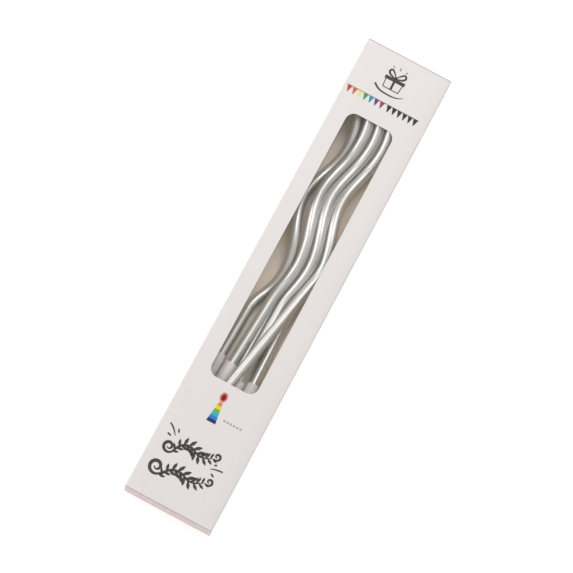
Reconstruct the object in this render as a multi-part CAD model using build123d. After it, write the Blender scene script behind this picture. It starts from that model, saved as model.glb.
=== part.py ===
from build123d import *

import os
from dataclasses import dataclass
from math import atan, cos, pi, radians, sin, tan

# A window carton with six spiral cake candles in push-on holders, in millimetres.
# The carton lies on its back: +Z up through the window, +Y to its top end,
# the origin on the floor under its middle. "From the top" runs towards -Y.

# Candle: a wax rod bent to a left-handed spiral, with a straight tail
wax_diameter = 4.2
wave = 2.85                 # radius of the spiral's centre line
wave_pitch = 57.0
wave_crest = 36.5           # first crest towards +X, from the top
wave_stations = 8           # path points in each turn
shortest_run = 0.4          # least first run of the path, as a share of the others
arc_share = 0.45            # of the shorter run that an arc takes at each end
tip_round = 0.8
wick_diameter = 1.0
wick_clearance = 0.05       # around the wick in its bore
wick_length = 6.0           # bare wick above the wax

# Holder: a thin cup with a four-bladed spike
socket_clearance = 0.05     # around the wax in the cup
socket_depth = 10.5
seat_gap = 0.2              # between the wax and the bottom of the cup
cup_wall = 0.4
cup_edge = 0.15             # rounding of the cup's rims
cup_floor = 1.5
spike_length = 16.0
spike_width = 3.4
spike_tip = 0.8
blade = 0.9

# How the candles lie against each other
nest_gap = 0.32             # between neighbours in the bundle
cup_gap = 0.25              # between neighbouring cups
cup_room = 0.1              # between a cup and the carton
wall_room = 0.53            # between the bundle and the carton's back and film
side_room = 7.29            # between the bundle and the carton's right side
row_x = -3.75               # upper row's left candle, at the row station
row_station = 67.0
row_lean = 0.02             # sideways drift of the bundle, per mm from the top
left_delay = 3.5            # of the left candle's waves behind the others'
left_swing = 1.27           # its spiral's radius, as a share of theirs
cup_station = 150.0         # where the tails' places are stated
cup_x = -2.4                # lowest cup, at the cup station
right_stack_angle = 57.0    # of the cup that leans on the lowest one's right
left_stack_angle = 50.0     # and on its left
tail_station = 109.5        # where the spirals end in straight tails, from the top
left_station = 116.0        # the same for the left candle
mouth_station = 139.8       # highest holder's mouth, from the top
crossing_station = 103.5    # the same for the tail that crosses over the others
crossing_rise = 0.9         # climb of that tail past the cup station
shuffle_up = 3.5            # slack that the bundle has in the closed carton
shuffle_down = 1.5

# Carton: folded white board, tuck-in lids hinged on the front panel
board = 0.4
fold_radius = 0.6
hinge_gap = 0.1             # between panels at a fold
tuck_gap = 0.1              # between a tuck flap and the back panel
tuck_arc = 41.0             # degrees of arc that a tuck flap covers
tuck_side_gap = 1.0
tuck_corner = 4.0
lid_side_gap = 0.15
end_room = 1.56             # between the lowest holder, pulled off, and the tuck flap
dust_length = 10.5
dust_gap = 0.15             # between a dust flap and the lid
dust_edge_gap = 0.6         # between a dust flap and the sweep of lid and tuck flap
dust_front_taper = 32.0
dust_back_taper = 22.0
dust_corner = 0.44          # rounding of its tip, as a share of the tip's height
glue_height = 10.5
glue_end = 8.0              # glue flap's ends, from the carton's ends
glue_slant = 5.0

# Window and its film
window_width = 20.6
window_length = 120.2
window_top = 30.7           # from the top
window_x = -1.3             # its middle, from the carton's
window_corner = 3.75
film = 0.15
film_overlap = 3.6
film_corner = 2.0

# Sizes that follow from the ones above
wax_radius = wax_diameter / 2
bore_diameter = wick_diameter + 2 * wick_clearance
cup_bore = wax_diameter + 2 * socket_clearance
cup_diameter = cup_bore + 2 * cup_wall
cup_radius = cup_diameter / 2
cup_length = socket_depth + cup_floor
holder_length = cup_length + spike_length
wave_slope = atan(2 * pi * wave / wave_pitch)
row_step = (wax_diameter + nest_gap) / cos(wave_slope)
layer_drop = row_step * sin(pi / 3)
cup_step = cup_diameter + cup_gap
cup_lift = cup_step * sin(radians(right_stack_angle))

depth_over_waves = film + 2 * wall_room + 2 * wave + wax_diameter + layer_drop
depth_over_cups = 2 * cup_room + cup_diameter + 2 * cup_lift + crossing_rise
carton_depth = 2 * board + max(depth_over_waves, depth_over_cups)
upper_z = carton_depth - board - film - wall_room - wave - wax_radius
lower_z = board + wall_room + wave + wax_radius
cup_z = board + cup_room + cup_radius


@dataclass
class Candle:
    """How one candle lies in the carton. Places across it are pairs of x and z."""

    name: str
    axis: tuple             # spiral's axis, at the row station
    swing: float            # radius of its spiral's centre line
    delay: float            # of its waves behind the others'
    sunk: float             # end of the wax, below the highest candle's
    foot: tuple             # start of the straight tail, measured from the axis there
    foot_station: float     # the same, from the top
    cup: tuple              # the tail at the cup station
    mouth: float            # holder's mouth, from the top


row = [row_x + row_step * place for place in range(3)]
left_axis = (row_x - 0.98 * row_step, upper_z - 0.8 * row_step)
valleys = [row_x + row_step * place for place in (0.5, 1.5)]
right_x = cup_x + cup_step * cos(radians(right_stack_angle))
right_z = cup_z + cup_lift
left_x = cup_x - cup_step * cos(radians(left_stack_angle))
left_z = cup_z + cup_step * sin(radians(left_stack_angle))
crossing_z = carton_depth - board - cup_room - cup_radius - crossing_rise

candles = [
    Candle(
        "candle_1", axis=left_axis, swing=left_swing * wave, delay=left_delay, sunk=0.25 * wick_length,
        foot=(-0.9 * wave, -0.75 * wave), foot_station=left_station,
        cup=(left_x - cup_step, left_z - 0.7 * cup_step), mouth=mouth_station),
    Candle(
        "candle_2", axis=(row[0], upper_z), swing=wave, delay=0.0, sunk=0.08 * wick_length,
        foot=(-0.15 * wave, -wave), foot_station=tail_station,
        cup=(left_x, left_z), mouth=mouth_station + 0.17 * cup_length),
    Candle(
        "candle_3", axis=(row[1], upper_z), swing=wave, delay=0.0, sunk=0.17 * wick_length,
        foot=(-0.18 * wave, -1.25 * wave), foot_station=tail_station,
        cup=(right_x, right_z), mouth=mouth_station + 0.58 * cup_length),
    Candle(
        "candle_4", axis=(row[2], upper_z), swing=wave, delay=0.0, sunk=0.0,
        foot=(0.18 * wave, 0.35 * wave), foot_station=crossing_station,
        cup=(cup_x + 0.09 * cup_step, crossing_z), mouth=mouth_station + 1.08 * cup_length),
    Candle(
        "candle_5", axis=(valleys[1], lower_z), swing=wave, delay=0.0, sunk=0.33 * wick_length,
        foot=(0.31 * wave, -0.97 * wave), foot_station=tail_station,
        cup=(right_x + 1.06 * cup_step, right_z - 0.36 * cup_step),
        mouth=mouth_station + 0.44 * cup_length),
    Candle(
        "candle_6", axis=(valleys[0], lower_z), swing=wave, delay=0.0, sunk=0.25 * wick_length,
        foot=(-0.42 * wave, -1.08 * wave), foot_station=tail_station,
        cup=(cup_x, cup_z), mouth=mouth_station + 0.75 * cup_length),
]

pull_off = socket_depth + 2 * seat_gap
tuck_outer = carton_depth - 1.5 * board - tuck_gap
tuck_inner = tuck_outer - board
tuck_depth = tuck_outer * sin(radians(tuck_arc)) + board / 2
bundle_top = tuck_depth + end_room + shuffle_up + wick_length
lowest_mouth = max(candle.mouth for candle in candles)
carton_length = lowest_mouth + holder_length + pull_off + shuffle_down + end_room + tuck_depth
last_crest = wave_crest + wave_pitch
bundle_right = row[2] + row_lean * (last_crest - row_station) + wave + wax_radius
carton_width = 2 * (bundle_right + side_room + board)
half_length = carton_length / 2
half_width = carton_width / 2


def spot(x, from_top, z):
    """A point in the carton, given by its distance from the top end."""
    return Vector(x, half_length - from_top, z)


def axis_x(candle, from_top):
    return candle.axis[0] + row_lean * (from_top - row_station)


def spiral_point(candle, from_top):
    """A point of the bent centre line: crests towards +X, highest a quarter turn before them."""
    turn = 2 * pi * (from_top - wave_crest - candle.delay) / wave_pitch
    x = axis_x(candle, from_top) + candle.swing * cos(turn)
    return spot(x, from_top, candle.axis[1] - candle.swing * sin(turn))


def tail_ends(candle):
    """The straight tail's start, and its place at the cup station."""
    foot_x = axis_x(candle, candle.foot_station) + candle.foot[0]
    start = spot(foot_x, candle.foot_station, candle.axis[1] + candle.foot[1])
    return start, spot(candle.cup[0], cup_station, candle.cup[1])


def tail_frame(candle):
    """A plane at the holder's mouth, its normal along the tail towards the spike."""
    start, end = tail_ends(candle)
    along = (end - start).normalized()
    mouth_y = half_length - candle.mouth
    mouth = start + along * ((mouth_y - start.Y) / along.Y)
    return Plane(mouth, x_dir=(1, 0, 0), z_dir=along)


def centre_line(candle, bare_wick, short_of_seat):
    """The candle's path from its top to its seat in the cup, as runs joined by tangent arcs."""
    step = wave_pitch / wave_stations
    top = bundle_top + candle.sunk
    first = wave_crest - step * int((wave_crest - top) / step - shortest_run)
    count = int((candle.foot_station - first) / step)
    frame = tail_frame(candle)
    points = [spiral_point(candle, top)]
    points += [spiral_point(candle, first + step * place) for place in range(count)]
    points.append(tail_ends(candle)[0])
    points.append(frame.origin + frame.z_dir * (socket_depth - seat_gap - short_of_seat))
    radii = []
    for before, corner, after in zip(points, points[1:], points[2:]):
        arriving = corner - before
        leaving = after - corner
        half_turn = radians(arriving.get_angle(leaving)) / 2
        radii.append(arc_share * min(arriving.length, leaving.length) / tan(half_turn))
    points[0] = points[0] + (points[0] - points[1]).normalized() * bare_wick
    return FilletPolyline(*points, radius=radii)


def rod(path, diameter):
    start = Plane(path @ 0, z_dir=path % 0)
    return sweep(start * Circle(diameter / 2), path=path)


def make_wax(candle):
    path = centre_line(candle, 0, 0)
    body = rod(path, wax_diameter)
    rims = body.edges().filter_by(GeomType.CIRCLE)
    top_rim = min(rims, key=lambda rim: (rim.arc_center - path @ 0).length)
    body = fillet(top_rim, tip_round)
    return body - rod(path, bore_diameter)


def make_wick(candle):
    return rod(centre_line(candle, wick_length, seat_gap), wick_diameter)


def make_holder(candle):
    """Cup with its mouth towards the wax, and a tapered spike of two crossed blades."""
    mouth = tail_frame(candle)
    cup = extrude(mouth * Circle(cup_radius), cup_length)
    cup = fillet(cup.edges().filter_by(GeomType.CIRCLE), cup_edge)
    cup -= extrude(mouth * Circle(cup_bore / 2), socket_depth)
    outline = Polygon(
        (-spike_width / 2, 0), (spike_width / 2, 0),
        (spike_tip / 2, spike_length), (-spike_tip / 2, spike_length), align=None)
    blades = []
    for turn in (0, 90):
        base = mouth.offset(cup_length) * Rot(0, 0, turn) * Rot(90, 0, 0)
        blades.append(extrude(base * outline, blade / 2, both=True))
    return cup + blades[0] + blades[1]


def cross_plane(place):
    """A plane across the carton at a place: x to the right, y up."""
    return Plane(place, x_dir=(1, 0, 0), z_dir=(0, -1, 0))


def make_sleeve():
    """Front, side and back panels in one folded tube, with the glue flap inside its left side."""
    middle = cross_plane((0, 0, carton_depth / 2))
    inner_radius = fold_radius - board
    outside = RectangleRounded(carton_width, carton_depth, fold_radius)
    inside = RectangleRounded(carton_width - 2 * board, carton_depth - 2 * board, inner_radius)
    tube = extrude(middle * (outside - inside), half_length, both=True)

    front_end = half_length - board - hinge_gap
    side_end = half_length - 2 * board - dust_gap - hinge_gap
    for end in (1, -1):
        front_cut = Box(2 * carton_width, board + hinge_gap, board)
        tube -= Pos(0, end * (front_end + half_length) / 2, carton_depth - board / 2) * front_cut
        side_cut = Box(2 * carton_width, half_length - side_end, carton_depth - 2 * board)
        tube -= Pos(0, end * (side_end + half_length) / 2, carton_depth / 2) * side_cut

    glue_half = half_length - glue_end
    glue_outline = Polygon(
        (-glue_half, board), (glue_half, board),
        (glue_half - glue_slant, board + glue_height), (-glue_half + glue_slant, board + glue_height),
        align=None)
    glue_plane = Plane((-half_width + board, 0, 0), x_dir=(0, 1, 0), z_dir=(1, 0, 0))
    tube += extrude(glue_plane * glue_outline, board)

    window = RectangleRounded(window_width, window_length, window_corner)
    window_middle = spot(window_x, window_top + window_length / 2, carton_depth - board)
    return tube - extrude(Pos(window_middle) * window, board)


def make_film():
    sheet = RectangleRounded(
        window_width + 2 * film_overlap, window_length + 2 * film_overlap, film_corner)
    middle = spot(window_x, window_top + window_length / 2, carton_depth - board - film)
    return extrude(Pos(middle) * sheet, film)


lid_hinge = Vector(0, half_length - board / 2, carton_depth - board / 2)
tuck_hinge = lid_hinge - Vector(0, 0, (tuck_outer + tuck_inner) / 2)
dust_hinge_y = half_length - 1.5 * board - dust_gap
fold_round = board / 2


def fold_bar(place, direction, length):
    """The round edge that a panel turns on at its fold."""
    return extrude(Plane(place, z_dir=direction) * Circle(fold_round), length / 2, both=True)


def make_lid():
    """End panel from the front panel's fold to the tuck flap's, bevelled where that flap folds up."""
    width = carton_width - 2 * lid_side_gap
    outer = lid_hinge.Y + board / 2
    inner = lid_hinge.Y - board / 2
    bottom = tuck_hinge.Z + fold_round + hinge_gap
    section = Polygon(
        (outer, bottom), (outer, lid_hinge.Z), (inner, lid_hinge.Z), (inner, bottom + board), align=None)
    panel = extrude(Plane.YZ * section, width / 2, both=True)
    return panel + fold_bar(lid_hinge, (1, 0, 0), width)


def make_tuck():
    """Tuck flap, bowed about the lid's fold so that it slides out as the lid opens."""
    width = carton_width - 2 * board - 2 * tuck_side_gap
    root = cross_plane(tuck_hinge) * Rectangle(width, board)
    flap = revolve(root, Axis(lid_hinge, (-1, 0, 0)), tuck_arc)
    reach = lid_hinge.Y - flap.bounding_box().min.Y
    plan = RectangleRounded(width, 2 * reach, tuck_corner)
    flap &= extrude(Pos(0, lid_hinge.Y, 0) * plan, carton_depth)
    return flap + fold_bar(tuck_hinge, (1, 0, 0), width)


def make_dust_flap():
    """Right-hand dust flap, tapered to clear the lid in front and the tuck flap behind."""
    root_x = half_width - board / 2
    front = carton_depth - board - dust_edge_gap
    back = lid_hinge.Z - tuck_inner + dust_edge_gap
    tip_front = front - dust_length * tan(radians(dust_front_taper))
    tip_back = back + dust_length * tan(radians(dust_back_taper))
    outline = Polygon(
        (root_x, back), (root_x, front), (root_x - dust_length, tip_front),
        (root_x - dust_length, tip_back), align=None)
    tip = outline.vertices().sort_by(Axis.X)[:2]
    outline = fillet(tip, dust_corner * (tip_front - tip_back))
    flap = extrude(cross_plane((0, dust_hinge_y, 0)) * outline, fold_round, both=True)
    bar_middle = Vector(root_x, dust_hinge_y, (front + back) / 2)
    return flap + fold_bar(bar_middle, (0, 0, 1), front - back)


nodes = {"carton_sleeve": make_sleeve(), "window_film": make_film()}
right_dust = make_dust_flap()
top_panels = {
    "lid_panel": make_lid(),
    "tuck_flap": make_tuck(),
    "dust_flap_right": right_dust,
    "dust_flap_left": mirror(right_dust, about=Plane.YZ),
}
for label, panel in top_panels.items():
    nodes["top_" + label] = panel
    nodes["bottom_" + label] = mirror(panel, about=Plane.XZ)
for candle in candles:
    nodes[candle.name + "_wax"] = make_wax(candle)
    nodes[candle.name + "_wick"] = make_wick(candle)
    nodes[candle.name + "_holder"] = make_holder(candle)

os.makedirs("parts", exist_ok=True)
for name, shape in nodes.items():
    export_step(shape, f"parts/{name}.step")

print(f"carton {carton_width:.2f} x {carton_length:.2f} x {carton_depth:.2f}")
for candle in candles:
    frame = tail_frame(candle)
    run = centre_line(candle, 0, 0).length
    expected = run * pi * (wax_radius ** 2 - (bore_diameter / 2) ** 2)
    print(candle.name, "length", round(run, 2), "section x length", round(expected, 1),
          "volume", round(nodes[candle.name + "_wax"].volume, 1),
          "tail", [round(value, 5) for value in frame.z_dir])
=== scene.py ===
import math

import bmesh
import bpy
from mathutils import Matrix, Vector
from mathutils.geometry import delaunay_2d_cdt


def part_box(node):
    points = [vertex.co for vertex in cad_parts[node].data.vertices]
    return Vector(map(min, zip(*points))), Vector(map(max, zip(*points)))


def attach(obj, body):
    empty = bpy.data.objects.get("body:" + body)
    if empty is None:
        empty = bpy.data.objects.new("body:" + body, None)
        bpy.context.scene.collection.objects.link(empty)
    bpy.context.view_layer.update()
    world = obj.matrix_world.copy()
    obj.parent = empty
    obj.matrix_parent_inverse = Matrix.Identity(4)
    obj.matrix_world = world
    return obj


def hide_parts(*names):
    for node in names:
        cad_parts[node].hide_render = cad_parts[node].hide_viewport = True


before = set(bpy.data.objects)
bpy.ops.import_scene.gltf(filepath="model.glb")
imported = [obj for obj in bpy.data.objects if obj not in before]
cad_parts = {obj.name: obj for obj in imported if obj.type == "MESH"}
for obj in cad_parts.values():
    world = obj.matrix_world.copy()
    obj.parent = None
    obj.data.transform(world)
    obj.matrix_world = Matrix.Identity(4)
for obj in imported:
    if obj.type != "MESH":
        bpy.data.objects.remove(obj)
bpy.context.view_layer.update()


# Candles: thin rods of wax, bent warm to a left-handed spiral with a straight tail and dipped in
# silver lacquer. They lie nested in two layers, each with its own place in the heap.

mm = 0.001
wax_radius = 2.1 * mm
tip_round = 0.8 * mm
dark_patch_place = (-3.0 * mm, 132.4 * mm, 8.6 * mm)      # where a small patch of the lacquer is drawn dark
wave_pitch = 57 * mm
wave_crest = 36.5 * mm          # first crest towards +X, from the carton's top end
wave_step = wave_pitch / 8
shortest_run = 0.4
row_station = 67 * mm
row_lean = 0.02                 # sideways drift of the spirals' axes
wax_in_cup = 10.3 * mm
rod_sides = 32
ring_spacing = 0.3 * mm
dark_patch_core = 0.8 * mm
dark_patch_reach = 2.3 * mm
top_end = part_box("carton_sleeve")[1].y

# For each candle: its spiral's axis (x, z), radius and delay, the wax's top from the top end, and
# the places (x, from the top end, z) where its straight tail starts and where its holder's mouth is.
candle_places = {
    1: ((-8.393, 6.193), 3.620, 3.5, 22.806, (-9.978, 116.0, 4.055), (-10.826, 139.80, 3.599)),
    2: ((-3.750, 9.983), 2.850, 0.0, 21.786, (-3.327, 109.5, 7.133), (-5.333, 141.84, 7.145)),
    3: ((0.988, 9.983), 2.850, 0.0, 22.326, (1.325, 109.5, 6.421), (0.579, 146.76, 7.448)),
    4: ((5.726, 9.983), 2.850, 0.0, 21.306, (6.969, 103.5, 10.981), (-2.446, 152.76, 12.127)),
    5: ((3.357, 5.880), 2.850, 0.0, 23.286, (5.090, 109.5, 3.116), (6.052, 145.08, 5.308)),
    6: ((-1.381, 5.880), 2.850, 0.0, 22.806, (-1.728, 109.5, 2.802), (-2.380, 148.80, 3.043)),
}


class Tap:
    """A tap on one node socket: operators add Math nodes, and node() adds any other node."""

    def __init__(self, tree, socket=None):
        self.tree = tree
        self.socket = socket

    def node(self, kind, settings=None, sockets=None, out=0):
        made = self.tree.nodes.new(kind)
        for name, value in (settings or {}).items():
            setattr(made, name, value)
        for key, value in (sockets or {}).items():
            for given_value in value if isinstance(value, list) else [value]:
                if isinstance(given_value, Tap):
                    self.tree.links.new(given_value.socket, made.inputs[key])
                else:
                    made.inputs[key].default_value = given_value
        return Tap(self.tree, made.outputs[out] if made.outputs else None)

    def __getitem__(self, name):
        return Tap(self.tree, self.socket.node.outputs[name])

    def math(self, operation, first, second=0.0):
        return self.node("ShaderNodeMath", {"operation": operation}, {0: first, 1: second})

    def __add__(self, other):
        return self.math("ADD", self, other)

    def __radd__(self, other):
        return self.math("ADD", other, self)

    def __sub__(self, other):
        return self.math("SUBTRACT", self, other)

    def __rsub__(self, other):
        return self.math("SUBTRACT", other, self)

    def __mul__(self, other):
        return self.math("MULTIPLY", self, other)

    def __rmul__(self, other):
        return self.math("MULTIPLY", other, self)

    def __truediv__(self, other):
        return self.math("DIVIDE", self, other)

    def __abs__(self):
        return self.math("ABSOLUTE", self)

    def rise(self, low, high):
        """0 below low, 1 above high, smooth between."""
        return self.node("ShaderNodeMapRange", {"interpolation_type": "SMOOTHSTEP"},
                         {"Value": self, "From Min": low, "From Max": high})

    def choose(self, colour, other):
        """The first colour where this value is 0, the other where it is 1."""
        pair = [c if isinstance(c, Tap) else (*c, 1.0) for c in (colour, other)]
        return self.node("ShaderNodeMix", {"data_type": "RGBA"}, {0: self, 6: pair[0], 7: pair[1]}, 2)


def new_finish(name, **fixed):
    """A material, a tap on its tree, and its main shader with the values that are the same all over."""
    material = bpy.data.materials.new(name)
    material.use_nodes = True
    shader = material.node_tree.nodes["Principled BSDF"]
    for label, value in fixed.items():
        shader.inputs[label.replace("_", " ")].default_value = value
    return material, Tap(material.node_tree), shader


def feed(shader, label, tap):
    tap.tree.links.new(tap.socket, shader.inputs[label])


def noise(vector, scale, detail=2.0, roughness=0.5):
    return vector.node("ShaderNodeTexNoise", None, {
        "Vector": vector, "Scale": scale, "Detail": detail, "Roughness": roughness})


def stretched(vector, scale):
    return vector.node("ShaderNodeMapping", None, {"Vector": vector, "Scale": scale})


def bumped(shader, height, depth, strength):
    feed(shader, "Normal", height.node("ShaderNodeBump", None, {
        "Height": height, "Distance": depth, "Strength": strength}))


def new_tree(name, inputs):
    """A Geometry Nodes tree with named inputs: a tap on its group input."""
    tree = bpy.data.node_groups.new(name, "GeometryNodeTree")
    tree.interface.new_socket("Geometry", in_out="OUTPUT", socket_type="NodeSocketGeometry")
    tree.interface.new_socket("Geometry", in_out="INPUT", socket_type="NodeSocketGeometry")
    for label, kind in inputs.items():
        tree.interface.new_socket(label, in_out="INPUT", socket_type="NodeSocket" + kind)
    return Tap(tree).node("NodeGroupInput")


def end_tree(geometry, material):
    """Realizes, colours and hands out what a tree has made."""
    real = geometry.node("GeometryNodeRealizeInstances", None, {"Geometry": geometry})
    painted = real.node("GeometryNodeSetMaterial", None, {"Geometry": real, "Material": material})
    painted.node("NodeGroupOutput", None, {"Geometry": painted})


def made_by(tree, name, data, values):
    """Runs a tree on a curve or mesh and leaves its result as a plain mesh object."""
    source = bpy.data.objects.new(name + "_source", data)
    bpy.context.scene.collection.objects.link(source)
    modifier = source.modifiers.new("make", "NODES")
    modifier.node_group = tree
    for item in tree.interface.items_tree:
        if item.in_out == "INPUT" and item.name in values:
            modifier[item.identifier] = values[item.name]
    graph = bpy.context.evaluated_depsgraph_get()
    mesh = bpy.data.meshes.new_from_object(
        source.evaluated_get(graph), preserve_all_data_layers=True, depsgraph=graph)
    source.modifiers.remove(modifier)
    bpy.data.objects.remove(source)
    piece = bpy.data.objects.new(name, mesh)
    bpy.context.scene.collection.objects.link(piece)
    return piece


def smooth_line(name, points):
    """A curve that rounds the corners of a route."""
    line = bpy.data.curves.new(name, "CURVE")
    line.dimensions = "3D"
    line.resolution_u = 12
    spline = line.splines.new("NURBS")
    spline.points.add(len(points) - 1)
    for point, place in zip(spline.points, points):
        point.co = (*place, 1.0)
    spline.order_u = 3
    spline.use_endpoint_u = True
    return line


def spot(x, from_top, z):
    return Vector((x, top_end - from_top, z))


def tail_of(number):
    """The holder's mouth and the tail's direction there."""
    foot, mouth = (spot(*(value * mm for value in place)) for place in candle_places[number][4:])
    return mouth, (mouth - foot).normalized()


def candle_route(number):
    (axis_x, axis_z), swing, delay, top, foot, _ = candle_places[number]
    top *= mm

    def bend(from_top):
        turn = math.tau * (from_top - wave_crest - delay * mm) / wave_pitch
        x = axis_x * mm + row_lean * (from_top - row_station) + swing * mm * math.cos(turn)
        return spot(x, from_top, (axis_z - swing * math.sin(turn)) * mm)

    first = wave_crest - wave_step * int((wave_crest - top) / wave_step - shortest_run)
    count = int((foot[1] * mm - first) / wave_step)
    route = [bend(top)] + [bend(first + wave_step * place) for place in range(count)]
    foot = spot(*(value * mm for value in foot))
    mouth, along = tail_of(number)
    entry = 0.9 * min((foot - route[-1]).length, wave_step)
    return route + [foot, foot + along * entry, mouth + along * wax_in_cup]


def on_skin(tap):
    """A point's place on a rod's skin: around its section, and along it in Z."""
    around = tap.node("ShaderNodeAttribute", {"attribute_name": "across"}, out=1)
    length = tap.node("ShaderNodeAttribute", {"attribute_name": "along"}, out=2)
    return tap.node("ShaderNodeVectorMath", {"operation": "ADD"}, {
        0: around, 1: tap.node("ShaderNodeCombineXYZ", None, {"Z": length})})


silver, tap, shader = new_finish("silver_lacquer", Coat_Weight=0.25, Coat_Roughness=0.28)
lay = on_skin(tap)
streaks = noise(stretched(lay, (1400, 1400, 55)), 1.0, 3.0)
clouds = noise(lay, 160, 2.0)
flakes = noise(lay, 9000, 1.0)
scuffs = noise(stretched(lay, (2600, 2600, 700)), 1.0, 4.0, 0.62).rise(0.66, 0.74)
lacquer = (streaks * 0.6 + clouds * 0.4).choose((0.53, 0.520, 0.497), (0.75, 0.738, 0.711))
place = tap.node("ShaderNodeTexCoord", out=3)
reach = tap.node("ShaderNodeVectorMath", {"operation": "DISTANCE"}, {0: place, 1: spot(*dark_patch_place)}, 1)
# A small dark patch drawn on the lacquer around one spot of candle 2's tail, darkest at its core.
dark_patch = (1 - reach.rise(dark_patch_core, dark_patch_reach)) * noise(place, 900, 2.0).rise(0.55, 0.62)
worn = (scuffs * 0.55).choose(lacquer, (0.80, 0.79, 0.77))
feed(shader, "Base Color", (dark_patch * 0.8).choose(worn, (0.10, 0.095, 0.09)))
feed(shader, "Metallic", 0.78 - scuffs * 0.5)
feed(shader, "Roughness", 0.32 + streaks * 0.12 + scuffs * 0.2)
bumped(shader, flakes + clouds * 3.0 - scuffs * 2.0, 0.000012, 0.5)

given = new_tree("dipped_rod", {"Radius": "Float", "Tip Round": "Float", "Spacing": "Float",
                                "Material": "Material"})
rings = given.node("GeometryNodeResampleCurve", {"mode": "LENGTH"}, {
    "Curve": given["Geometry"], "Length": given["Spacing"]})
reach = given.node("GeometryNodeSplineParameter", out=1)
rings = given.node("GeometryNodeStoreNamedAttribute", {"data_type": "FLOAT", "domain": "POINT"}, {
    "Geometry": rings, "Name": "along", "Value": reach})
rounding = given["Tip Round"]
inset = rounding - reach.math("MINIMUM", reach, rounding)
shoulder = inset.math("SQRT", rounding * rounding - inset * inset)
girth = (given["Radius"] - rounding + shoulder) / given["Radius"]
circle = given.node("GeometryNodeCurvePrimitiveCircle", None, {
    "Resolution": rod_sides, "Radius": given["Radius"]})
circle = given.node("GeometryNodeStoreNamedAttribute", {"data_type": "FLOAT_VECTOR", "domain": "POINT"}, {
    "Geometry": circle, "Name": "across", "Value": given.node("GeometryNodeInputPosition")})
skin = given.node("GeometryNodeCurveToMesh", None, {
    "Curve": rings, "Profile Curve": circle, "Scale": girth, "Fill Caps": True})
end_tree(given.node("GeometryNodeSetShadeSmooth", None, {0: skin}), given["Material"])
dipped_rod = given.tree

for number in candle_places:
    line = smooth_line(f"candle_{number}_line", candle_route(number))
    rod = made_by(dipped_rod, f"candle_{number}_rod", line, {
        "Radius": wax_radius, "Tip Round": tip_round, "Spacing": ring_spacing, "Material": silver})
    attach(rod, f"candle_{number}")
    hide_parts(f"candle_{number}_wax")


# Wicks: three twisted cotton strands through each candle, stiff with wax, with 6 mm left bare
# above the rod. Only that end and a little of what runs into the wax are drawn.

wick_radius = 0.5 * mm
wick_bare = 6 * mm
wick_sunk = 2 * mm
wick_twist = 2.4 * mm
wick_sides = 24
wick_rings = 60
strands = 3

cotton, tap, shader = new_finish("waxed_cotton", Roughness=0.72)
lay = on_skin(tap)
fibres = noise(stretched(lay, (9000, 9000, 1200)), 1.0, 3.0)
feed(shader, "Base Color", fibres.choose((0.70, 0.66, 0.58), (0.90, 0.88, 0.82)))
bumped(shader, fibres, 0.00004, 0.6)

given = new_tree("twisted_wick", {"Radius": "Float", "Twist": "Float", "Material": "Material"})
rings = given.node("GeometryNodeResampleCurve", {"mode": "COUNT"}, {
    "Curve": given["Geometry"], "Count": wick_rings})
reach = given.node("GeometryNodeSplineParameter", out=1)
rings = given.node("GeometryNodeStoreNamedAttribute", {"data_type": "FLOAT", "domain": "POINT"}, {
    "Geometry": rings, "Name": "along", "Value": reach})
rings = given.node("GeometryNodeSetCurveTilt", None, {
    "Curve": rings, "Tilt": reach * math.tau / given["Twist"]})
circle = given.node("GeometryNodeCurvePrimitiveCircle", None, {
    "Resolution": wick_sides, "Radius": given["Radius"]})
turn = given.node("GeometryNodeSplineParameter") * (strands * math.tau)
lobes = 0.84 + 0.16 * turn.math("COSINE", turn)
place = given.node("GeometryNodeInputPosition")
circle = given.node("GeometryNodeSetPosition", None, {
    "Geometry": circle, "Position": place.node("ShaderNodeVectorMath", {"operation": "SCALE"}, {
        0: place, "Scale": lobes})})
circle = given.node("GeometryNodeStoreNamedAttribute", {"data_type": "FLOAT_VECTOR", "domain": "POINT"}, {
    "Geometry": circle, "Name": "across", "Value": given.node("GeometryNodeInputPosition")})
skin = given.node("GeometryNodeCurveToMesh", None, {
    "Curve": rings, "Profile Curve": circle, "Fill Caps": True})
end_tree(given.node("GeometryNodeSetShadeSmooth", None, {0: skin}), given["Material"])

for number in candle_places:
    route = candle_route(number)
    up = (route[0] - route[1]).normalized()
    line = smooth_line(f"wick_{number}_line", [
        route[0] + up * wick_bare, route[0] + up * 0.4 * wick_bare, route[0] - up * wick_sunk])
    wick = made_by(given.tree, f"candle_{number}_braid", line, {
        "Radius": wick_radius, "Twist": wick_twist, "Material": cotton})
    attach(wick, f"candle_{number}")
    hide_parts(f"candle_{number}_wick")


# Holders: injection-moulded cups in milky plastic, pushed on to the candles' tails, each with a
# four-bladed spike that goes into the cake.

cup_radius = 2.55 * mm
cup_bore = 2.15 * mm
socket_depth = 10.5 * mm
cup_length = 12 * mm
cup_edge = 0.15 * mm
spike_length = 16 * mm
blade_reach = 1.7 * mm
tip_reach = 0.4 * mm
blade_half = 0.45 * mm
cup_sides = 48

milky, tap, shader = new_finish("milky_plastic", IOR=1.49, Subsurface_Weight=0.25,
                                Subsurface_Radius=(0.002, 0.002, 0.002))
place = tap.node("ShaderNodeTexCoord", out=3)
flow = noise(stretched(place, (500, 90, 500)), 1.0, 3.0)
specks = noise(place, 5200, 1.0)
feed(shader, "Base Color", flow.choose((0.87, 0.815, 0.81), (0.96, 0.905, 0.90)))
feed(shader, "Roughness", 0.30 + flow * 0.18)
feed(shader, "Alpha", 0.85 + flow * 0.12)
bumped(shader, specks, 0.00001, 0.3)


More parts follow.
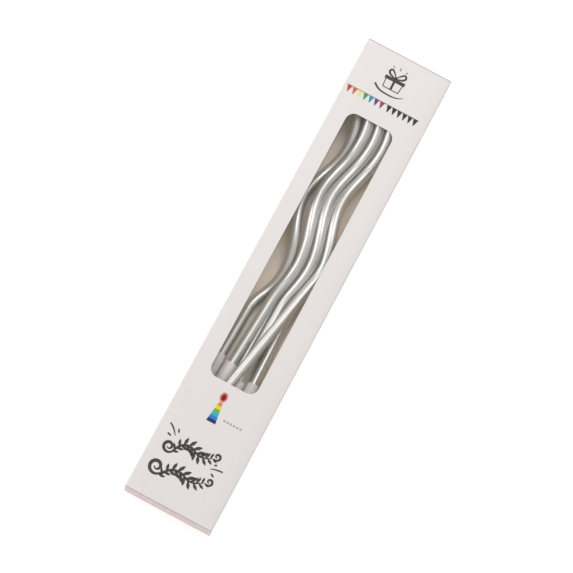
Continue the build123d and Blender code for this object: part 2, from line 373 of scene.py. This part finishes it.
def turned(mesh, profile, sides):
    """Turns a profile of (radius, height) about the Z axis, closing it where the radius is 0."""
    loops = []
    for radius, height in profile:
        if radius == 0:
            loops.append([mesh.verts.new((0, 0, height))])
            continue
        loops.append([mesh.verts.new((radius * math.cos(turn), radius * math.sin(turn), height))
                      for turn in (math.tau * k / sides for k in range(sides))])
    for lower, upper in zip(loops, loops[1:]):
        for k in range(sides):
            after = (k + 1) % sides
            corners = [lower[k % len(lower)], lower[after % len(lower)],
                       upper[after % len(upper)], upper[k % len(upper)]]
            mesh.faces.new(list(dict.fromkeys(corners)))


def add_spike(mesh, start):
    """Two crossed blades as one star-shaped loft, drawn in to a blunt tip."""
    rows = []
    for share in (-0.03, 0.0, 0.25, 0.5, 0.75, 0.93, 0.98, 1.0):
        arm = blade_reach + (tip_reach - blade_reach) * max(share, 0)
        half = blade_half
        if share > 0.9:
            half *= 1 - 4 * (share - 0.9)
        arm = max(arm, half + 0.03 * mm)
        nip = min(0.14 * mm, 0.4 * (arm - 0.5 * half))
        outline = []
        for quarter in range(4):
            turn = Matrix.Rotation(quarter * math.pi / 2, 2)
            for x, y in ((half, -half), (arm - nip, -half), (arm, -half + nip),
                         (arm, half - nip), (arm - nip, half)):
                outline.append(turn @ Vector((x, y)))
        rows.append([mesh.verts.new((*point, start + share * spike_length)) for point in outline])
    for lower, upper in zip(rows, rows[1:]):
        for k in range(len(lower)):
            after = (k + 1) % len(lower)
            mesh.faces.new((lower[k], lower[after], upper[after], upper[k]))
    mesh.faces.new(list(reversed(rows[0])))
    mesh.faces.new(rows[-1])


def as_piece(name, mesh, materials, smooth=None):
    """Turns a bmesh into an object, with faces outwards and edges under an angle smooth."""
    bmesh.ops.recalc_face_normals(mesh, faces=mesh.faces)
    if smooth is not None:
        for face in mesh.faces:
            face.smooth = True
        for edge in mesh.edges:
            edge.smooth = len(edge.link_faces) != 2 or edge.calc_face_angle() < math.radians(smooth)
    data = bpy.data.meshes.new(name)
    mesh.to_mesh(data)
    mesh.free()
    for material in materials:
        data.materials.append(material)
    piece = bpy.data.objects.new(name, data)
    bpy.context.scene.collection.objects.link(piece)
    return piece


for number in candle_places:
    mesh = bmesh.new()
    turned(mesh, [
        (0, socket_depth), (cup_bore - 2 * cup_edge, socket_depth),
        (cup_bore - 0.5 * cup_edge, socket_depth - 0.4 * cup_edge), (cup_bore, socket_depth - 2 * cup_edge),
        (cup_bore, 0.5 * socket_depth), (cup_bore, 1.2 * cup_edge),
        (cup_bore + 0.3 * cup_edge, 0.35 * cup_edge), (cup_bore + cup_edge, 0),
        (cup_radius - cup_edge, 0), (cup_radius - 0.3 * cup_edge, 0.3 * cup_edge),
        (cup_radius, cup_edge), (cup_radius, 0.5 * cup_length), (cup_radius, cup_length - 3 * cup_edge),
        (cup_radius - 0.8 * cup_edge, cup_length - 0.9 * cup_edge), (cup_radius - 3 * cup_edge, cup_length),
        (0, cup_length)], cup_sides)
    add_spike(mesh, cup_length)
    mouth, along = tail_of(number)
    placed = Matrix.Translation(mouth) @ along.to_track_quat("Z", "X").to_matrix().to_4x4()
    bmesh.ops.transform(mesh, matrix=placed, verts=mesh.verts)
    holder = as_piece(f"candle_{number}_cup", mesh, [milky], 35)
    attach(holder, f"holder_{number}")
    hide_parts(f"candle_{number}_holder")


# Carton sleeve: one sheet of folding board, white on front and back, blush on its sides and greyish
# beige inside, creased into four walls and glued along a flap inside the left one. The window is
# punched out.

board = 0.4 * mm
fold_radius = 0.6 * mm
hinge_gap = 0.1 * mm
dust_gap = 0.15 * mm
half_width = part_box("carton_sleeve")[1].x
carton_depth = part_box("carton_sleeve")[1].z
front_end = top_end - board - hinge_gap
side_end = top_end - 2 * board - dust_gap - hinge_gap
front_half = half_width - fold_radius
window_x = -1.3 * mm
window_half = 10.3 * mm
window_top = 30.7 * mm
window_length = 120.2 * mm
window_corner = 3.75 * mm
glue_height = 10.5 * mm
glue_end = 8 * mm
glue_slant = 5 * mm
crown = 0.1 * mm                # gentle outward bow of the front panel
stations = [k / 24 - 1 for k in range(49)]

coated, tap, shader = new_finish("coated_board", Coat_Weight=0.12, Coat_Roughness=0.35)
place = tap.node("ShaderNodeTexCoord", out=3)
apart = tap.node("ShaderNodeSeparateXYZ", None, {0: place})
mottle = noise(place, 420, 4.0, 0.6)
smudge = noise(place, 38, 2.0)
grain = noise(place, 6500, 2.0)
near_edge = (abs(apart["X"]).rise(half_width - 0.9 * mm, half_width - 0.1 * mm)
             + abs(apart["Y"]).rise(top_end - 1.0 * mm, top_end - 0.2 * mm))
rubbed = near_edge * noise(place, 520, 4.0).rise(0.45, 0.62)
white = (mottle * 0.5 + smudge * 0.5).choose((0.678, 0.645, 0.626), (0.728, 0.700, 0.684))
feed(shader, "Base Color", (rubbed * 0.5).choose(white, (0.66, 0.62, 0.585)))
feed(shader, "Roughness", 0.42 + mottle * 0.10 + rubbed * 0.15)
bumped(shader, grain + mottle * 2.0 + smudge * 12.0, 0.00002, 0.35)

blush, tap, shader = new_finish("blush_board", Coat_Weight=0.12, Coat_Roughness=0.35)
place = tap.node("ShaderNodeTexCoord", out=3)
apart = tap.node("ShaderNodeSeparateXYZ", None, {0: place})
mottle = noise(place, 420, 4.0, 0.6)
grain = noise(place, 6500, 2.0)
creased = (apart["Z"].rise(carton_depth - 0.7 * mm, carton_depth - 0.2 * mm) + 1
           - apart["Z"].rise(0.2 * mm, 0.7 * mm))
pink = mottle.choose((0.60, 0.452, 0.447), (0.665, 0.512, 0.505))
paled = creased * noise(place, 600, 3.0).rise(0.42, 0.6)
feed(shader, "Base Color", paled.choose(pink, (0.74, 0.65, 0.64)))
feed(shader, "Roughness", 0.44 + mottle * 0.10)
bumped(shader, grain + mottle * 2.0, 0.00002, 0.35)

greyback, tap, shader = new_finish("board_inside")
place = tap.node("ShaderNodeTexCoord", out=3)
fibre = noise(stretched(place, (1500, 260, 1500)), 1.0, 4.0, 0.6)
fleck = noise(place, 2400, 2.0).rise(0.64, 0.70)
bands = noise(stretched(place, (650, 26, 650)), 1.0, 3.0)
pulp = (fibre * 0.45 + bands * 0.55).rise(0.3, 0.7).choose((0.90, 0.785, 0.67), (0.99, 0.91, 0.805))
feed(shader, "Base Color", (fleck * 0.5).choose(pulp, (0.28, 0.24, 0.21)))
feed(shader, "Roughness", 0.78 + fibre * 0.12)
bumped(shader, fibre, 0.00004, 0.5)

cut_edge, tap, shader = new_finish("board_cut_edge")
place = tap.node("ShaderNodeTexCoord", out=3)
fuzz = noise(place, 3800, 4.0, 0.65)
feed(shader, "Base Color", fuzz.choose((0.50, 0.455, 0.42), (0.74, 0.70, 0.66)))
feed(shader, "Roughness", 0.80 + fuzz * 0.1)
bumped(shader, fuzz, 0.00004, 0.6)

# Outside in white or blush, then the inside and the cut edges that go with each
board_faces = [coated, blush, greyback, greyback, cut_edge, cut_edge]


def front_height(x, y):
    return carton_depth + crown * (1 - (x / half_width) ** 2) * (1 - (y / top_end) ** 4)


def rounded_outline(half_x, half_y, corner, steps):
    outline = []
    for sx, sy, start in ((1, 1, 0), (-1, 1, 90), (-1, -1, 180), (1, -1, 270)):
        for step in range(steps + 1):
            turn = math.radians(start + 90 * step / steps)
            outline.append(Vector((sx * (half_x - corner) + corner * math.cos(turn),
                                   sy * (half_y - corner) + corner * math.sin(turn))))
    return outline


def fold_arc(x, z, start):
    """The outside of a crease: quarter arcs about its corner's centre, without their two ends."""
    return [(x + fold_radius * math.cos(math.radians(start + turn)),
             z + fold_radius * math.sin(math.radians(start + turn))) for turn in (22.5, 45, 67.5)]


wall_low = fold_radius
wall_high = carton_depth - fold_radius
walls = [(-front_half + 2 * front_half * k / 8, 0.0, top_end) for k in range(9)]
walls += [(x, z, top_end) for x, z in fold_arc(front_half, wall_low, 270)]
walls += [(half_width, wall_low + (wall_high - wall_low) * k / 4, side_end) for k in range(5)]
walls += [(x, z, front_end) for x, z in fold_arc(front_half, wall_high, 0)]
walls += [(front_half, carton_depth, front_end)]
left = [(-front_half, carton_depth, front_end)]
left += [(x, z, front_end) for x, z in fold_arc(-front_half, wall_high, 90)]
left += [(-half_width, wall_high - (wall_high - wall_low) * k / 4, side_end) for k in range(5)]
left += [(x, z, top_end) for x, z in fold_arc(-front_half, wall_low, 180)]
left += [(-front_half, 0.0, top_end)]

mesh = bmesh.new()
for run in (walls, left):
    columns = [[mesh.verts.new((x, end * share, z)) for share in stations] for x, z, end in run]
    for one, other in zip(columns, columns[1:]):
        for k in range(len(stations) - 1):
            mesh.faces.new((one[k], one[k + 1], other[k + 1], other[k]))

window_middle = top_end - window_top - window_length / 2
window = [point + Vector((window_x, window_middle))
          for point in rounded_outline(window_half, window_length / 2, window_corner, 10)]
across = [front_half * (k / 4 - 1) for k in range(9)]
edge = [Vector((x, -front_end)) for x in across]
edge += [Vector((front_half, front_end * share)) for share in stations[1:]]
edge += [Vector((x, front_end)) for x in reversed(across[:-1])]
edge += [Vector((-front_half, front_end * share)) for share in reversed(stations[1:-1])]
inside = []
for x in across[1:-1]:
    for share in stations[1:-1]:
        clear_x = abs(x - window_x) - window_half
        clear_y = abs(front_end * share - window_middle) - window_length / 2
        if max(clear_x, clear_y) > 2 * mm:
            inside.append(Vector((x, front_end * share)))
rim = len(edge)
links = [(k, (k + 1) % rim) for k in range(rim)]
links += [(rim + k, rim + (k + 1) % len(window)) for k in range(len(window))]
points, _, faces, *_ = delaunay_2d_cdt(edge + window + inside, links, [], 1, 1e-7)
laid = [mesh.verts.new((point.x, point.y, front_height(point.x, point.y) if abs(point.x) < front_half - 1e-6
                        else carton_depth)) for point in points]
for face in faces:
    middle = sum((points[k] for k in face), Vector((0, 0))) / len(face)
    if abs(middle.x - window_x) < window_half and abs(middle.y - window_middle) < window_length / 2:
        beyond = Vector((max(abs(middle.x - window_x) - window_half + window_corner, 0),
                         max(abs(middle.y - window_middle) - window_length / 2 + window_corner, 0)))
        if beyond.length < window_corner:
            continue
    mesh.faces.new([laid[k] for k in face])
bmesh.ops.remove_doubles(mesh, verts=mesh.verts, dist=1e-6)
bmesh.ops.recalc_face_normals(mesh, faces=mesh.faces)
mesh.faces.ensure_lookup_table()
if max(mesh.faces, key=lambda face: face.calc_center_median().z).normal.z < 0:
    bmesh.ops.reverse_faces(mesh, faces=mesh.faces)
for face in mesh.faces:
    face.smooth = True
    face.material_index = 1 if abs(face.normal.z) < 0.5 else 0
data = bpy.data.meshes.new("carton_wall")
mesh.to_mesh(data)
mesh.free()
for material in board_faces:
    data.materials.append(material)
skin = bpy.data.objects.new("carton_skin", data)
bpy.context.scene.collection.objects.link(skin)
thick = skin.modifiers.new("board", "SOLIDIFY")
thick.thickness = board
thick.offset = -1
thick.use_even_offset = True
thick.material_offset = 2
thick.material_offset_rim = 4
graph = bpy.context.evaluated_depsgraph_get()
data = bpy.data.meshes.new_from_object(skin.evaluated_get(graph), depsgraph=graph)
bpy.data.objects.remove(skin)

mesh = bmesh.new()
mesh.from_mesh(data)
mesh.normal_update()
for face in mesh.faces:
    middle = face.calc_center_median()
    if middle.z > wall_high and abs(middle.y) > front_end - 0.01 * mm:
        face.material_index = 0         # the front's ends are creased, not cut
glue_x = -half_width + board
glue_half = top_end - glue_end
outline = [(-glue_half, board), (glue_half, board), (glue_half - glue_slant, board + glue_height),
           (-glue_half + glue_slant, board + glue_height)]
near = [mesh.verts.new((glue_x, y, z)) for y, z in outline]
far = [mesh.verts.new((glue_x + board, y, z)) for y, z in outline]
for loop in (near, list(reversed(far))):
    mesh.faces.new(loop).material_index = 2
for k in range(4):
    after = (k + 1) % 4
    mesh.faces.new((near[after], near[k], far[k], far[after])).material_index = 4
sleeve = as_piece("carton_wall", mesh, board_faces, 30)
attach(sleeve, "carton")
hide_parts("carton_sleeve")


# End flaps: at each end of the sheet a lid panel folds down from the front, with a tuck flap that
# slides in along the back panel, over two dust flaps that fold in from the sides.

lid_side_gap = 0.15 * mm
tuck_gap = 0.1 * mm
tuck_arc = math.radians(41)
tuck_side_gap = 1.0 * mm
tuck_corner = 4.0 * mm
dust_length = 10.5 * mm
dust_edge_gap = 0.6 * mm
dust_front_taper = math.radians(32)
dust_back_taper = math.radians(22)
dust_corner = 1.2 * mm
fold_round = board / 2
tuck_rows = 24
lid_y = top_end - board / 2
lid_z = carton_depth - board / 2
tuck_middle = carton_depth - 1.5 * board - tuck_gap - board / 2
tuck_z = lid_z - tuck_middle
dust_y = top_end - 1.5 * board - dust_gap


def prism(mesh, outline, low, high, axis):
    """A closed outline drawn out along an axis, in a few lengths."""
    rows = []
    for k in range(5):
        level = low + (high - low) * k / 4
        rows.append([mesh.verts.new((level, a, b) if axis == "x" else (a, level, b)) for a, b in outline])
    for one, other in zip(rows, rows[1:]):
        for k in range(len(outline)):
            after = (k + 1) % len(outline)
            mesh.faces.new((one[k], one[after], other[after], other[k]))
    mesh.faces.new(list(reversed(rows[0])))
    mesh.faces.new(rows[-1])


def close_sheet(mesh, outer, inner):
    """Joins two grids of points, the outside and the inside of a sheet, into a closed skin."""
    for rows in (outer, inner):
        for one, other in zip(rows, rows[1:]):
            for j in range(len(one) - 1):
                mesh.faces.new((one[j], one[j + 1], other[j + 1], other[j]))
    for end in (0, -1):
        for j in range(len(outer[end]) - 1):
            mesh.faces.new((outer[end][j], outer[end][j + 1], inner[end][j + 1], inner[end][j]))
    for k in range(len(outer) - 1):
        for side in (0, -1):
            mesh.faces.new((outer[k][side], outer[k + 1][side], inner[k + 1][side], inner[k][side]))


def board_sides(mesh, outward):
    """Blush on the outside of a flap, grey inside, bare fibre on its cut edges."""
    mesh.normal_update()
    for face in mesh.faces:
        facing = face.normal.dot(outward(face.calc_center_median()))
        face.material_index = 1 if facing > 0.6 else 2 if facing < -0.6 else 4


def hang(mesh, name, end, mirrored, body, node, outward):
    """Turns a flap made for the top end to its own end and side."""
    turn = Matrix.Diagonal((mirrored, end, 1, 1))
    bmesh.ops.recalc_face_normals(mesh, faces=mesh.faces)
    board_sides(mesh, outward)
    bmesh.ops.transform(mesh, matrix=turn, verts=mesh.verts)
    piece = as_piece(name, mesh, board_faces, 30)
    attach(piece, body)
    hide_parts(node)


for label, end in (("top", 1), ("bottom", -1)):
    lid_half = half_width - lid_side_gap
    lid_low = tuck_z + fold_round + hinge_gap
    bar = [(lid_y + fold_round * math.cos(math.radians(turn)),
            lid_z + fold_round * math.sin(math.radians(turn))) for turn in range(0, 181, 30)]
    mesh = bmesh.new()
    prism(mesh, [(lid_y + fold_round, lid_low)] + bar + [(lid_y - fold_round, lid_low + board)],
          -lid_half, lid_half, "x")
    hang(mesh, f"{label}_lid_board", end, 1, f"{label}_lid", f"{label}_lid_panel",
         lambda at: Vector((0, 0.71, 0.71)))

    tuck_half = half_width - board - tuck_side_gap
    tuck_reach = (tuck_middle + board / 2) * math.sin(tuck_arc) + board / 2
    mesh = bmesh.new()
    shells = []
    for radius in (tuck_middle + board / 2, tuck_middle - board / 2):
        rows = []
        for k in range(tuck_rows + 1):
            turn = tuck_arc * k / tuck_rows
            y = lid_y - radius * math.sin(turn)
            inward = max(lid_y - y - tuck_reach + tuck_corner, 0)
            cut = tuck_corner - math.sqrt(max(tuck_corner ** 2 - inward ** 2, 0))
            rows.append([mesh.verts.new(((tuck_half - cut) * (j / 8 - 1), y, lid_z - radius * math.cos(turn)))
                         for j in range(17)])
        shells.append(rows)
    close_sheet(mesh, *shells)
    hang(mesh, f"{label}_tuck_board", end, 1, f"{label}_tuck", f"{label}_tuck_flap",
         lambda at: (at - Vector((at.x, lid_y, lid_z))).normalized())

    root_x = half_width - board / 2
    front = carton_depth - board - dust_edge_gap
    back = tuck_z - board / 2 + board + dust_edge_gap
    tip_x = root_x - dust_length
    tip_front = front - dust_length * math.tan(dust_front_taper)
    tip_back = back + dust_length * math.tan(dust_back_taper)
    for side, mirrored in (("right", 1), ("left", -1)):
        outline = [(root_x + fold_round, back), (root_x + fold_round, front), (root_x, front)]
        for (x, z), before, after in (((tip_x, tip_front), (root_x, front), (tip_x, tip_back)),
                                      ((tip_x, tip_back), (tip_x, tip_front), (root_x, back))):
            corner = Vector((x, z))
            start = corner + (Vector(before) - corner).normalized() * 0.8 * dust_corner
            stop = corner + (Vector(after) - corner).normalized() * 0.8 * dust_corner
            for k in range(7):
                t = k / 6
                outline.append(start * (1 - t) ** 2 + corner * (2 * t * (1 - t)) + stop * t ** 2)
        outline.append((root_x, back))
        mesh = bmesh.new()
        prism(mesh, [tuple(point) for point in outline], dust_y - fold_round, dust_y + fold_round, "y")
        hang(mesh, f"{label}_dust_{side}_board", end, mirrored, f"{label}_dust_{side}",
             f"{label}_dust_flap_{side}", lambda at: Vector((0, 1, 0)))


# Window film: a sheet of clear plastic glued behind the front panel, a little slack, so that it
# shows faint ripples and a soft sheen.

film_thickness = 0.15 * mm
film_half = window_half + 3.6 * mm
film_margin = 3.6 * mm
film_rows = 64
ripple = 0.03 * mm

clear_film, tap, shader = new_finish("clear_film", IOR=1.5, Roughness=0.06)
place = tap.node("ShaderNodeTexCoord", out=3)
haze = noise(stretched(place, (140, 45, 140)), 1.0, 3.0)
feed(shader, "Base Color", haze.choose((0.86, 0.87, 0.88), (0.97, 0.97, 0.97)))
feed(shader, "Alpha", 0.004 + haze * 0.022)
bumped(shader, haze, 0.0002, 0.25)

film_low = window_middle - window_length / 2 - film_margin
film_high = window_middle + window_length / 2 + film_margin
mesh = bmesh.new()
shells = []
for under in (0.02 * mm, film_thickness):
    rows = []
    for k in range(film_rows + 1):
        y = film_low + (film_high - film_low) * k / film_rows
        row = []
        for j in range(17):
            x = window_x + film_half * (j / 8 - 1)
            slack = ripple * math.sin(190 * y + 120 * x) * max(0, 1 - ((x - window_x) / window_half) ** 2)
            row.append(mesh.verts.new((x, y, front_height(x, y) - board - under - abs(slack))))
        rows.append(row)
    shells.append(rows)
close_sheet(mesh, *shells)
film = as_piece("window_sheet", mesh, [clear_film], 30)
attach(film, "carton")
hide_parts("window_film")


# Print: inks on the coated front in plain party motifs: a gift box, pennants, a party hat, dots and
# two leafy sprigs with ticks. Each is a film of ink with no thickness to speak of.

ink_lift = 0.02 * mm
black_ink = (0.030, 0.027, 0.026)
line_ink = (0.052, 0.047, 0.045)
grey_ink = (0.36, 0.35, 0.345)
pennant_inks = [(0.50, 0.055, 0.045), (0.58, 0.12, 0.05), (0.80, 0.66, 0.20), (0.07, 0.28, 0.10),
                (0.03, 0.30, 0.36), (0.13, 0.05, 0.24), (0.30, 0.045, 0.12)]
hat_inks = [(0.66, 0.25, 0.03), (0.74, 0.60, 0.04), (0.13, 0.42, 0.06),
            (0.03, 0.42, 0.50), (0.02, 0.19, 0.52), (0.02, 0.02, 0.12)]

printed, tap, shader = new_finish("printing_ink", Specular_IOR_Level=0.2)
place = tap.node("ShaderNodeTexCoord", out=3)
hue = tap.node("ShaderNodeAttribute", {"attribute_name": "ink"})
mottle = noise(place, 2600, 3.0)
feed(shader, "Base Color", (mottle.rise(0.5, 0.8) * 0.12).choose(hue, (0.62, 0.60, 0.59)))
feed(shader, "Roughness", 0.40 + mottle * 0.15)
bumped(shader, noise(place, 6500, 2.0), 0.00002, 0.3)

given = new_tree("pen_strokes", {"Ink": "Color", "Material": "Material"})
fine = given.node("GeometryNodeResampleCurve", {"mode": "LENGTH"}, {
    "Curve": given["Geometry"], "Length": 0.2 * mm})
nib = given.node("GeometryNodeCurvePrimitiveLine", None, {"Start": (-1, 0, 0), "End": (1, 0, 0)})
flat = given.node("GeometryNodeCurveToMesh", None, {
    "Curve": fine, "Profile Curve": nib, "Scale": given.node("GeometryNodeInputRadius")})
inked = given.node("GeometryNodeStoreNamedAttribute", {"data_type": "FLOAT_COLOR", "domain": "POINT"}, {
    "Geometry": flat, "Name": "ink", "Value": given["Ink"]})
end_tree(inked, given["Material"])
pen_strokes = given.tree

given = new_tree("leafy_sprig", {"Leaves": "Int", "Leaf Length": "Float", "Leaf Width": "Float",
                                 "Lean": "Float", "Ink": "Color", "Material": "Material"})
nib = given.node("GeometryNodeCurvePrimitiveLine", None, {"Start": (-1, 0, 0), "End": (1, 0, 0)})
fine = given.node("GeometryNodeResampleCurve", {"mode": "LENGTH"}, {
    "Curve": given["Geometry"], "Length": 0.3 * mm})
stem = given.node("GeometryNodeCurveToMesh", None, {
    "Curve": fine, "Profile Curve": nib, "Scale": given.node("GeometryNodeInputRadius")})
share = given.node("GeometryNodeSplineParameter")
swell = share.math("SINE", share * math.pi)
rib = given.node("GeometryNodeResampleCurve", {"mode": "COUNT"}, {
    "Curve": given.node("GeometryNodeCurvePrimitiveLine", None, {"End": (0, 1, 0)}), "Count": 9})
leaf = given.node("GeometryNodeCurveToMesh", None, {
    "Curve": rib, "Profile Curve": nib, "Scale": swell * given["Leaf Width"] / given["Leaf Length"]})
joints = given.node("GeometryNodeResampleCurve", {"mode": "COUNT"}, {
    "Curve": given["Geometry"], "Count": given["Leaves"]})
run = given.node("ShaderNodeSeparateXYZ", None, {0: given.node("GeometryNodeInputTangent")})
side = 2 * share.math("MODULO", given.node("GeometryNodeInputIndex"), 2.0) - 1
turn = share.math("ARCTAN2", run["Y"], run["X"]) - math.pi / 2 + side * given["Lean"]
leaves = given.node("GeometryNodeInstanceOnPoints", None, {
    "Points": joints, "Instance": leaf, "Rotation": given.node("ShaderNodeCombineXYZ", None, {"Z": turn}),
    "Scale": given["Leaf Length"] * (0.62 + 0.38 * swell)})
sprig = given.node("GeometryNodeJoinGeometry", None, {0: [stem, leaves]})
inked = given.node("GeometryNodeStoreNamedAttribute", {"data_type": "FLOAT_COLOR", "domain": "POINT"}, {
    "Geometry": given.node("GeometryNodeRealizeInstances", None, {"Geometry": sprig}),
    "Name": "ink", "Value": given["Ink"]})
end_tree(inked, given["Material"])
leafy_sprig = given.tree

prints = []


def draw(strokes, ink, tree=pen_strokes, **sizes):
    """Draws strokes in one ink: each is a row of (x, from the top end, half width), in millimetres."""
    line = bpy.data.curves.new("strokes", "CURVE")
    line.dimensions = "3D"
    line.twist_mode = "Z_UP"
    for stroke in strokes:
        spline = line.splines.new("NURBS" if len(stroke) > 2 else "POLY")
        spline.points.add(len(stroke) - 1)
        for point, (x, from_top, half) in zip(spline.points, stroke):
            point.co = (*spot(x * mm, from_top * mm, carton_depth), 1.0)
            point.radius = half * mm
        if len(stroke) > 2:
            spline.order_u = 3
            spline.use_endpoint_u = True
    values = {label.replace("_", " "): value for label, value in sizes.items()}
    prints.append(made_by(tree, f"print_{len(prints)}", line, {
        "Ink": (*ink, 1.0), "Material": printed, **values}))


def dot(x, from_top, radius):
    return [(x, from_top + radius * math.sin(turn), radius * math.cos(turn))
            for turn in (math.radians(-90 + 20 * k) for k in range(10))]


def curl(x, from_top, radius, start, turns, half):
    """A scroll that winds in from a radius, thickest on its way."""
    row = []
    for k in range(19):
        share = k / 18
        turn = math.radians(start) + turns * math.tau * share
        reach = radius * (1 - 0.78 * share)
        row.append((x + reach * math.cos(turn), from_top + reach * math.sin(turn),
                    half * (0.35 + 0.65 * math.sin(math.pi * min(1.0, 0.1 + share)))))
    return row


box_x = -1.4
bow = [(box_x - 0.1, 10.1, 0.2), (box_x - 2.2, 9.9, 0.4), (box_x - 3.9, 8.5, 0.45), (box_x - 3.0, 6.9, 0.4),
       (box_x - 1.3, 8.2, 0.3), (box_x, 9.9, 0.2)]
draw([[(box_x - 4.4, 11.0, 0.75), (box_x + 4.4, 11.0, 0.75)],
      [(box_x - 3.7, 11.6, 0.2), (box_x - 3.4, 15.2, 0.2)],
      [(box_x + 3.7, 11.6, 0.2), (box_x + 3.4, 15.2, 0.2)],
      [(box_x - 3.5, 15.2, 0.2), (box_x + 3.5, 15.2, 0.2)], [(box_x, 11.6, 0.5), (box_x, 15.2, 0.5)],
      bow, [(2 * box_x - x, from_top, half) for x, from_top, half in bow], dot(box_x, 9.9, 0.6),
      [(box_x, 5.0, 0.1), (box_x, 6.4, 0.25)], [(box_x - 3.2, 5.5, 0.1), (box_x - 2.6, 6.4, 0.22)],
      [(box_x + 3.2, 5.5, 0.1), (box_x + 2.6, 6.4, 0.22)],
      [(-8.1, 15.4, 0.42), (-6.2, 17.3, 0.38), (-1.6, 17.7, 0.32), (2.6, 17.5, 0.26), (5.0, 16.0, 0.1)]],
     line_ink)

for k, ink in enumerate(pennant_inks):
    x = -16.3 + 2.45 * k
    draw([[(x, 21.36, 1.03), (x, 24.2, 0.12)]], ink)
draw([[(1.6 + 2.36 * k, 21.36, 1.03), (1.6 + 2.36 * k, 24.2, 0.12)] for k in range(6)]
     + [[(-17.6, 21.2, 0.1), (-1.4, 21.25, 0.1), (14.7, 21.2, 0.1)]], black_ink)

hat_x = -1.4
for k, ink in enumerate(hat_inks):
    edge = [158.9 + 1.43 * (k + after) for after in (0, 1)]
    draw([[(hat_x, from_top, 0.75 + 0.145 * (from_top - 158.9)) for from_top in edge]], ink)
draw([[(hat_x, 156.6, 0.3), (hat_x + 1.5 * math.cos(turn), 156.6 + 1.9 * math.sin(turn), 0.32),
       (hat_x + 1.7 * math.cos(turn), 156.6 + 2.2 * math.sin(turn), 0.1)]
      for turn in (math.tau * k / 12 for k in range(12))] + [dot(hat_x, 156.6, 1.1)], (0.52, 0.03, 0.03))
draw([dot(3.1 + 1.42 * k, 164.6, 0.5) for k in range(6)], grey_ink)

sprig_sizes = {"Leaves": 19, "Leaf_Length": 3.9 * mm, "Leaf_Width": 0.72 * mm, "Lean": math.radians(52)}
draw([[(-8.9, 184.3, 0.5), (-8.0, 181.0, 0.5), (-3.6, 179.0, 0.48), (1.8, 182.2, 0.42), (6.0, 179.6, 0.15)]],
     line_ink, leafy_sprig, **sprig_sizes)
draw([[(-9.0, 195.0, 0.5), (-7.8, 191.6, 0.5), (-2.6, 189.6, 0.48), (3.2, 192.6, 0.42), (7.6, 189.4, 0.15)]],
     line_ink, leafy_sprig, **sprig_sizes)
draw([curl(-11.2, 183.2, 2.6, 20, 1.35, 0.65), curl(-11.8, 192.2, 3.3, 30, 1.35, 0.72),
      curl(7.4, 178.2, 1.6, 130, -1.2, 0.5), curl(9.2, 188.2, 1.6, 130, -1.2, 0.5),
      [(-14.9, 174.9, 0.3), (-12.6, 176.0, 0.42), (-10.9, 178.6, 0.12)],
      [(-10.9, 175.5, 0.3), (-10.2, 176.9, 0.35)], [(-14.0, 178.9, 0.35), (-12.4, 179.3, 0.35)],
      [(7.0, 183.6, 0.12), (9.0, 182.6, 0.35), (12.0, 182.5, 0.3)],
      [(7.8, 181.6, 0.35), (8.8, 181.1, 0.35)], [(8.2, 185.0, 0.35), (9.6, 185.8, 0.35)]], line_ink)

mesh = bmesh.new()
for piece in prints:
    mesh.from_mesh(piece.data)
    bpy.data.objects.remove(piece)
for vertex in mesh.verts:
    vertex.co.z = front_height(vertex.co.x, vertex.co.y) + ink_lift
mesh.normal_update()
for face in mesh.faces:
    if face.normal.z < 0:
        face.normal_flip()
data = bpy.data.meshes.new("front_print")
mesh.to_mesh(data)
mesh.free()
data.materials.append(printed)
front_print = bpy.data.objects.new("front_print", data)
bpy.context.scene.collection.objects.link(front_print)
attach(front_print, "carton")


# Studio: a pale floor under an even sky, a soft strip lamp on the left and a wider one above the top
# end, which draw the long highlights on the rods, and the camera.

floor_finish, tap, shader = new_finish("studio_floor", Roughness=0.9, Emission_Strength=0.45)
place = tap.node("ShaderNodeTexCoord", out=3)
paper = noise(place, 3.0, 2.0).choose((0.88, 0.88, 0.88), (0.91, 0.91, 0.91))
feed(shader, "Base Color", paper)
feed(shader, "Emission Color", paper)
mesh = bmesh.new()
bmesh.ops.create_grid(mesh, x_segments=8, y_segments=8, size=2.0)
bmesh.ops.translate(mesh, verts=mesh.verts, vec=(0, 0, -0.0002))
floor = as_piece("studio_floor", mesh, [floor_finish])

world = bpy.data.worlds.new("studio")
bpy.context.scene.world = world
world.use_nodes = True
world.node_tree.nodes["Background"].inputs["Color"].default_value = (1.0, 0.99, 0.98, 1.0)
world.node_tree.nodes["Background"].inputs["Strength"].default_value = 0.62


def add_light(name, place, size, power):
    """An area light, aimed at the middle of the carton."""
    lamp = bpy.data.lights.new(name, "AREA")
    lamp.shape = "RECTANGLE"
    lamp.size, lamp.size_y = size
    lamp.energy = power
    light = bpy.data.objects.new(name, lamp)
    light.location = place
    light.rotation_euler = (-Vector(place)).to_track_quat("-Z", "Y").to_euler()
    bpy.context.scene.collection.objects.link(light)


add_light("left_lamp", (-0.88, -0.07, 0.63), (0.77, 0.25), 4.3)
add_light("end_lamp", (-0.03, 0.56, 1.06), (0.45, 0.85), 4.6)

view = bpy.data.cameras.new("photo_view")
view.sensor_width = 36.0
view.lens = 136.23
view.clip_start = 0.01
camera_right = Vector((0.88211, 0.46523, 0.07372))
camera_up = Vector((-0.47038, 0.86172, 0.19021))
turned_to = Matrix((camera_right, camera_up, camera_right.cross(camera_up))).transposed().to_4x4()
camera = bpy.data.objects.new("photo_view", view)
camera.matrix_world = Matrix.Translation(Vector((20.74, -175.78, 848.14)) * mm) @ turned_to
bpy.context.scene.collection.objects.link(camera)
bpy.context.scene.camera = camera
bpy.context.scene.view_settings.view_transform = "Standard"
